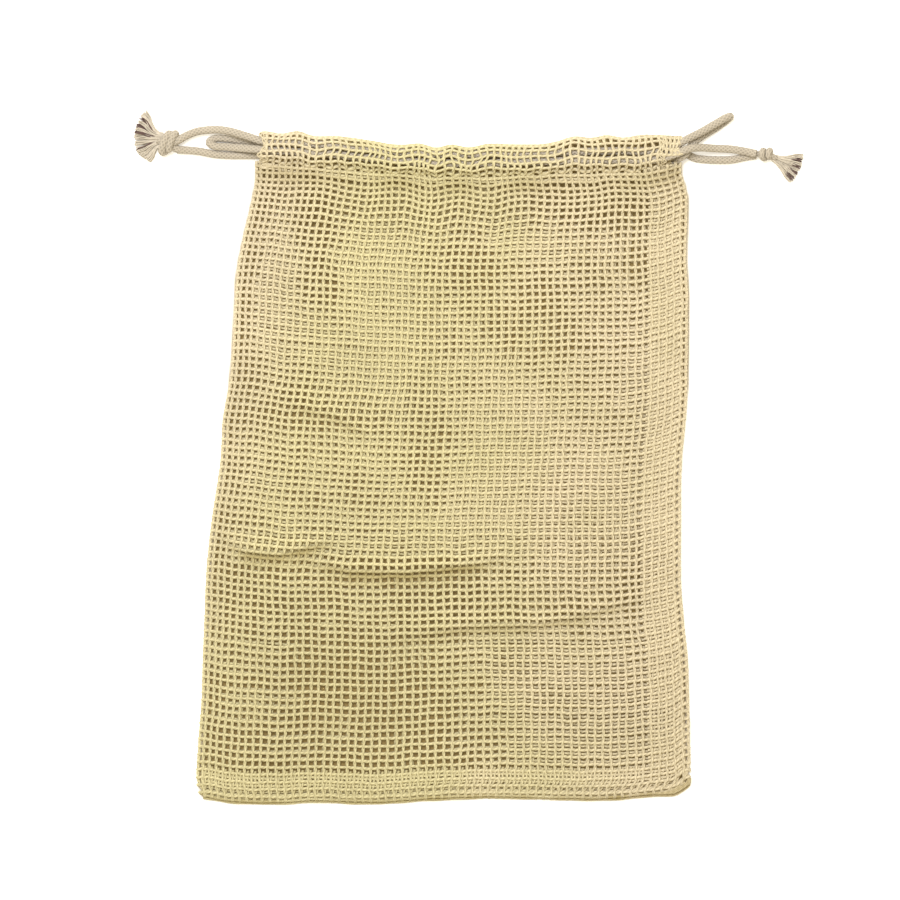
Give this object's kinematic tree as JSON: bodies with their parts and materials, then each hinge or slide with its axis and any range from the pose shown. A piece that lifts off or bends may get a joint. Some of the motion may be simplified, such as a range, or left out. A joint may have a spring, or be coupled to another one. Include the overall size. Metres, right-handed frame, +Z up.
{
  "type": "cotton mesh drawstring produce bag",
  "caption": "Empty produce bag of open cotton net, sewn along one side and the bottom, with knotted drawcords that close its mouth from both ends.",
  "frame": {"origin": "on the surface it lies on, under the middle of the sack's own box, without the cords", "axes": "+Z up out of the front of the flat bag, +Y from the bottom hem to the mouth, +X from the folded side to the sewn side"},
  "size_m": [0.3427, 0.3525, 0.0153],
  "materials": {
    "net": "unbleached cotton net, leno weave, matt",
    "cord": "braided natural cotton cord, matt",
    "fray": "loose natural cotton yarn with a few dark strands"
  },
  "bodies": {
    "root": {"net_sack": "net", "drawcord_left": "cord", "drawcord_right": "cord", "knot_left": "cord", "knot_right": "cord", "frayed_end_left": "fray", "frayed_end_right": "fray"}
  },
  "joints": []
}
